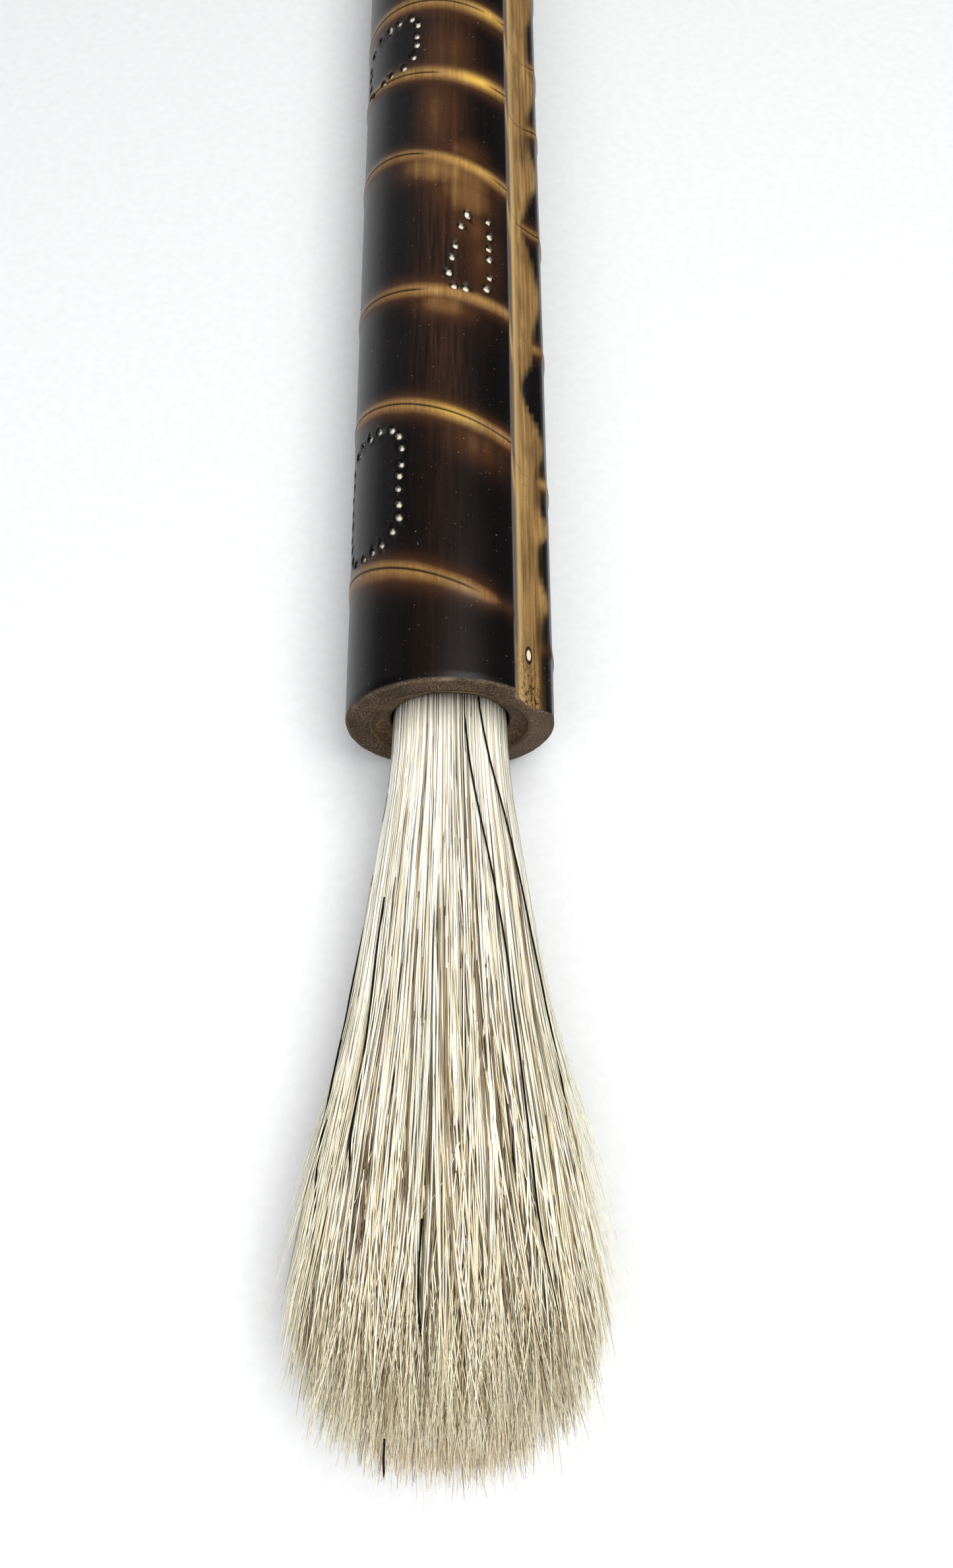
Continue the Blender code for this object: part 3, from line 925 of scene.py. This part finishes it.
def tuft_section(distance):
    """Half width, half height above and below, and middle height of the tuft, at distances in millimetres."""
    table = np.array(OUTLINE)
    width, height, middle = (np.interp(distance, table[:, 0], table[:, k]) for k in (1, 2, 3))
    lower = height * (1 + (UNDERSIDE_FACTOR - 1) * np.clip(distance / UNDERSIDE_START, 0, 1))
    return width, height, lower, middle


def tuft_point(across, up, distance):
    """A point of the tuft: across and up are shares of its section, and distance is in millimetres."""
    width, height, lower, middle = tuft_section(distance)
    z = middle + up * np.where(up > 0, height, lower)
    piled = PILE_LOW + (z + SINK).clip(0, SINK + PILE_TOP) / (SINK + PILE_TOP) * PILE_DEPTH
    z = np.where(z < PILE_TOP, np.maximum(z, piled), z)
    return np.stack([across * width, -distance, z], -1) * MM + np.array([0, FACE_Y, 0])


def tip_distance(share, side):
    """How far hairs reach, by how far out and how far to one side they lie: the end of the tuft is round."""
    return TUFT_LENGTH / MM - 2.0 * share**2 - 9.0 * np.abs(side) ** 3.5 - 1.5 * share**6


def gather_locks(rng, reach, turn, locks):
    """Hairs join the nearest of some that are drawn at random: which it is, and how far off it is rooted."""
    start = np.stack([reach * np.sin(turn), reach * np.cos(turn)], 1)
    middle = rng.choice(len(reach), locks, replace=False)
    whose = np.argmin(((start[:, None] - start[middle][None]) ** 2).sum(2), axis=1)
    apart = (turn[middle][whose] - turn + math.pi) % (2 * math.pi) - math.pi
    return whose, apart, reach[middle][whose] - reach


def hair_ends(rng, layer, reach, turn, whose):
    """How far each hair reaches. Locks end unevenly, and some hairs are much shorter."""
    shorter = np.abs(rng.normal(0, layer.ragged, layer.locks))[whose]
    end = tip_distance(reach, reach * np.sin(turn)) - shorter + rng.normal(-0.4, 1.0, layer.count)
    short = rng.random(layer.count) < 0.07
    end[short] -= rng.uniform(2, 18, short.sum())
    return end


def hair_shades(rng, layer, whose):
    """A share of the hairs is nearly white. Most of the others are tan, and the rest brown: partly the hair's
    own colour, and partly painted shade in the gaps between hairs.
    """
    white, tan, brown = 0.84, 0.45, 0.10
    kind = rng.random(layer.count)
    tan_to = layer.bright + (1 - layer.bright) * 0.64
    shade = np.where(kind < layer.bright, white, np.where(kind < tan_to, tan, brown))
    shade = shade + rng.normal(0, 0.05, layer.locks)[whose] + rng.normal(0, 0.07, layer.count)
    return np.clip(shade, 0, 1)


def grow_strands(layer):
    """Paths and shades of a layer's hairs, whose tips gather in locks.

    A path spreads with the tuft. It also turns round the tuft's middle, moves out from it and waves a little.
    """
    count = layer.count
    locks = layer.locks
    rng = np.random.default_rng(layer.seed)
    reach = np.sqrt(rng.uniform(layer.inner**2, layer.outer**2, count))
    turn = rng.uniform(0, 2 * math.pi, count)
    whose, apart, deeper = gather_locks(rng, reach, turn, locks)

    def varied(of_lock, of_hair):
        """A column of variations, of which each lock and each hair has its own."""
        return (rng.normal(0, of_lock, locks)[whose] + rng.normal(0, of_hair, count))[:, None]

    loose = rng.random(count) < 0.38
    pull = rng.uniform(0.35, 0.92, locks)[whose] * rng.uniform(0.7, 1.0, count) * np.where(loose, 0.2, 1.0)
    sway = varied(0.110, 0.035) + (loose * rng.normal(0, 0.26, count))[:, None]
    drift = varied(0.030, 0.030)
    flick = varied(0.060, 0.085)
    rise = varied(0.030, 0.022)
    curl = varied(0.06, 0.085)
    end = hair_ends(rng, layer, reach, turn, whose)[:, None]
    t = np.linspace(0, 1, HAIR_POINTS)[None, :] ** 0.95
    distance = -HAIR_ROOT + t * (end + HAIR_ROOT)
    grown = np.clip(distance / STRAY_LENGTH, 0, 1)
    gather = smooth(0.40, 1.0, t) * pull[:, None]
    phase = rng.uniform(0, 2 * math.pi, (count, 1, 2))
    swing = rng.uniform(0.6, 2.2, (count, 1, 1)) * grown[..., None] * 2 * math.pi
    wave = 0.016 * np.sin(swing + phase) * smooth(0, 0.5, grown)[..., None]
    across = turn[:, None] + apart[:, None] * gather + sway * grown**1.1 + curl * t**6 + wave[..., 0]
    out = reach[:, None] + deeper[:, None] * gather * 0.4
    out = out * (1 + rise * smooth(0.1, 0.8, grown)) + wave[..., 1]
    out = np.minimum(out, 1 + 0.05 * rng.random((count, 1)) ** 2)
    side = out * np.sin(across)
    free = np.sqrt(np.clip(1.04 - side**2, 0.04, 1))
    side = side + (drift * grown**2 + flick * t**6) * free
    return tuft_point(side, out * np.cos(across), distance), hair_shades(rng, layer, whose)


def stray_paths(count, seed):
    """Fine loose hairs that leave the tuft at its sides and top."""
    rng = np.random.default_rng(seed)
    turn = np.where(rng.random(count) < 0.5, -1, 1) * rng.uniform(0.28, 0.62, count) * math.pi
    leave = rng.uniform(0.3, 0.75, count)[:, None]
    out = rng.uniform(0.03, 0.24, count)[:, None]
    bend = rng.normal(0, 0.10, count)[:, None]
    end = tip_distance(1.0, np.sin(turn)) - rng.uniform(0, 14, count) + 2.0
    t = np.linspace(0, 1, HAIR_POINTS)[None, :]
    distance = -2.0 + t * (end[:, None] + 2.0)
    free = np.clip((t - leave) / (1 - leave), 0, 1)
    reach = 1.0 + out * free**1.5
    angle = turn[:, None] + bend * free**2
    return tuft_point(reach * np.sin(angle), reach * np.cos(angle), distance)


def tubes(paths, radius):
    """Thin tubes with HAIR_SIDES sides round paths of points, thinner towards their tips."""
    count, length, _ = paths.shape
    ahead = np.gradient(paths, axis=1)
    ahead /= np.linalg.norm(ahead, axis=2, keepdims=True)
    side = np.cross(ahead, np.array([0.0, 0.0, 1.0]))
    side /= np.linalg.norm(side, axis=2, keepdims=True)
    up = np.cross(side, ahead)
    thin = 1 - 0.85 * smooth(0.78, 1.0, np.linspace(0, 1, length))
    reach = radius.reshape(-1, 1) * thin[None]
    rings = []
    for corner in range(HAIR_SIDES):
        around = 2 * math.pi * corner / HAIR_SIDES + math.pi / 2
        offset = math.cos(around) * side + math.sin(around) * up
        rings.append(paths + offset * reach[..., None])
    points = np.stack(rings, 2).reshape(-1, 3)
    base = (np.arange(count) * length * HAIR_SIDES)[:, None, None]
    row = base + (np.arange(length - 1) * HAIR_SIDES)[None, :, None]
    corner = np.arange(HAIR_SIDES)[None, None, :]
    beside = (corner + 1) % HAIR_SIDES
    next_row = row + HAIR_SIDES
    quads = np.stack([row + corner, row + beside, next_row + beside, next_row + corner], -1)
    faces = quads.reshape(-1, 4).tolist()
    ends = base[:, 0, 0]
    faces += [tuple(int(e) + c for c in reversed(range(HAIR_SIDES))) for e in ends]
    last = (length - 1) * HAIR_SIDES
    faces += [tuple(int(e) + last + c for c in range(HAIR_SIDES)) for e in ends]
    return points, faces


def add_hair(name, paths, shade, material, radius):
    """One piece of many hairs. Each has its own column of the bake's texture, in the order of the shades."""
    order = np.argsort(shade)
    paths = paths[order]
    shade = shade[order]
    count, length, _ = paths.shape
    points, faces = tubes(paths, radius)
    along = np.tile(np.repeat(np.linspace(0, 1, length), HAIR_SIDES), count)
    whose = np.repeat(np.arange(count), length * HAIR_SIDES)
    corner = np.tile(np.arange(HAIR_SIDES), count * length)
    u = (whose + 0.2 + 0.6 * corner / (HAIR_SIDES - 1)) / count
    flat = np.stack([u, 0.02 + 0.96 * along], 1)
    masks = {"shade": shade[whose], "along": along}
    made = add_piece(name, points, faces, material, masks, lambda mesh: flat[loop_points(mesh)])
    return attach(made, "root")


def build_hair():
    """The tuft, from its outer hairs to its core, and the loose and black hairs on it."""
    cream = hair_material("cream_hair", CREAM_TONES, CREAM_TIP_TINT_AND_LIGHT)
    tan = hair_material("tan_hair", TAN_TONES, TAN_TIP_TINT)
    layers = (
        ("cover_hair_outer", OUTER_COVER, cream, "cover_hair"),
        ("cover_hair_inner", INNER_COVER, cream, "cover_hair"),
        ("middle_hair", MIDDLE, cream, "middle_hair"),
        ("core_hair", CORE, tan, "core_hair"),
    )
    for seed, (name, layer, material, slot) in enumerate(layers, 901):
        paths, shade = grow_strands(layer)
        radius = HAIR_RADIUS * np.random.default_rng(seed).uniform(0.7, 1.15, layer.count)
        add_hair(name, paths, shade, material, radius)
    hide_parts("hair_cover")
    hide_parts("hair_middle")
    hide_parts("hair_core")
    build_stray_hairs(cream)
    build_black_hairs()
    build_root_bundle(cream)


def build_stray_hairs(material):
    """Loose hairs, finer than the others."""
    stray = stray_paths(110, 7)
    shade = np.linspace(0.6, 1.0, len(stray))
    thin = np.full(len(stray), STRAY_HAIR_RADIUS)
    add_hair("stray_hair", stray, shade, material, thin)


def eased(places, stops, values):
    """Values between stops, with their corners rounded by a running mean."""
    reach = 3
    padded = np.pad(np.interp(places, stops, values), reach, mode="edge")
    window = 2 * reach + 1
    return np.convolve(padded, np.ones(window) / window, mode="valid")


def build_black_hairs():
    """The few black hairs, each along its own route over the tuft."""
    paths = []
    for route in BLACK_HAIRS:
        stops, aside, heights = zip(*route)
        distance = np.linspace(stops[0], stops[-1], HAIR_POINTS * 2)
        across = eased(distance, stops, aside)
        lift = eased(distance, stops, heights)
        up = np.sqrt(np.maximum(1 - across**2, 0))
        paths.append(tuft_point(across * lift, up * lift, distance))
    paths = np.array(paths)
    shade = np.linspace(0, 1, len(paths))
    thick = np.full(len(paths), BLACK_HAIR_RADIUS)
    dark, light = (0.002, 0.0018, 0.0018), (0.004, 0.003, 0.003)
    black = plain_material("black_hair", dark, light, 0.6, (0.4, 3.0, 0.4), specular=0.05)
    return add_hair("black_hair", paths, shade, black, thick)


def build_root_bundle(material):
    """The hair's hidden root, from the socket's mouth to its seal, drawn in under the outer binding."""
    angles = np.arange(0, 360, 5.0)
    fluting = 1 + 0.012 * value_noise(angles / 5, angles * 0, 81)
    full = ROOT_RADIUS * 0.985
    waist = 5.0 * MM
    inside = 3.2 * MM
    mouth = 1.2 * MM
    outside = (
        (ROOT_RADIUS * 0.95, mouth),
        (full, 2.4 * MM),
        (waist, 3.4 * MM),
        (waist, 9.0 * MM),
        (full, 10.0 * MM),
        (full, ROOT_DEPTH),
    )
    rings = [circle(reach, FACE_Y + depth, ROOT_Z, angles) for reach, depth in outside]
    for ring in rings:
        ring[:, 0] *= fluting
        ring[:, 2] = ROOT_Z + (ring[:, 2] - ROOT_Z) * fluting
    rings += [circle(inside, FACE_Y + depth, ROOT_Z, angles) for depth in (ROOT_DEPTH, mouth)]
    points = np.concatenate(rings)
    faces = closed_rings(len(rings), len(angles))
    masks = {"shade": np.full(len(points), 0.6), "along": np.zeros(len(points))}
    made = add_piece("hair_root_bundle", points, faces, material, masks)
    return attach(made, "root")


# ---- Stage ----


def build_floor():
    g = Graph("paper")
    fibre = g.noise((1.2, 1.2, 1.2), 4.0)
    g.bump(fibre, 0.04)
    color = g.ramp(fibre, (0.3, (0.62, 0.63, 0.64)), (0.7, (0.66, 0.67, 0.68)))
    paper = g.set(Base_Color=color, Roughness=0.9)
    half = 1.5
    points = [(-half, -half, 0), (half, -half, 0), (half, half, 0), (-half, half, 0)]
    made = add_piece("floor", np.array(points), [(0, 1, 2, 3)], paper)


def add_area(name, place, size, power, color=(1, 1, 1)):
    """A soft rectangular light that points at the middle of the handle's face."""
    data = bpy.data.lights.new(name, "AREA")
    data.shape = "RECTANGLE"
    data.size, data.size_y = size
    data.energy = power
    data.color = color
    made = bpy.data.objects.new(name, data)
    made.location = place
    direction = Vector((0, FACE_Y, 0)) - made.location
    made.rotation_euler = direction.to_track_quat("-Z", "Y").to_euler()
    bpy.context.scene.collection.objects.link(made)


def build_lights():
    add_area("key", (0.13, FACE_Y + 0.01, 0.50), (0.40, 0.30), 2.35, (1.0, 0.99, 0.97))
    add_area("overhead", (0.0, FACE_Y - 0.30, 0.54), (0.9, 0.4), 4.75)
    add_area("left_card", (-0.40, FACE_Y + 0.62, 0.24), (0.90, 0.45), 0.38, (0.90, 0.94, 1.0))
    world = bpy.data.worlds.new("studio")
    world.use_nodes = True
    background = world.node_tree.nodes["Background"]
    background.inputs["Color"].default_value = (1.0, 1.0, 1.0, 1.0)
    background.inputs["Strength"].default_value = 0.10
    bpy.context.scene.world = world
    bpy.context.scene.view_settings.view_transform = "Standard"


def build_camera():
    data = bpy.data.cameras.new("camera")
    data.lens = CAMERA_LENS
    data.sensor_width = SENSOR
    data.clip_start = 0.005
    data.clip_end = 20.0
    made = bpy.data.objects.new("camera", data)
    turn = Matrix.Rotation(math.radians(-CAMERA_YAW), 4, "Z")
    tilt = Matrix.Rotation(math.radians(90 - CAMERA_PITCH), 4, "X")
    roll = Matrix.Rotation(math.radians(-CAMERA_ROLL), 4, "Z")
    x, y, z = CAMERA_PLACE
    made.matrix_world = Matrix.Translation((x, FACE_Y + y, AXIS_Z + z)) @ turn @ tilt @ roll
    bpy.context.scene.collection.objects.link(made)
    bpy.context.scene.camera = made


def finish_cad_nodes():
    """Better finishes for the CAD nodes that stay: the ties, the seals and the plug."""
    fine = (0.12, 0.12, 0.12)
    thread = plain_material("twisted_thread", (0.42, 0.37, 0.29), (0.66, 0.61, 0.52), 0.75, fine, 0.05)
    rosin = plain_material("rosin", (0.13, 0.05, 0.012), (0.27, 0.12, 0.03), 0.15, (0.8, 0.8, 0.8))
    glue = plain_material("clear_glue", (0.40, 0.29, 0.13), (0.56, 0.43, 0.22), 0.25, (1.0, 1.0, 1.0))
    plug = plain_material("plug_wood", (0.020, 0.010, 0.006), (0.060, 0.030, 0.017), 0.3, (0.25, 1.5, 0.25))
    ties = {"root_binding": thread, "core_tie": thread}
    for node, finish in {**ties, "root_seal": rosin, "glue_bed": glue, "butt_plug": plug}.items():
        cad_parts[node].material_slots[0].material = finish


def main():
    build_camera()
    build_floor()
    build_lights()
    build_handle()
    build_bush()
    build_glue_line()
    build_hair()
    finish_cad_nodes()


main()
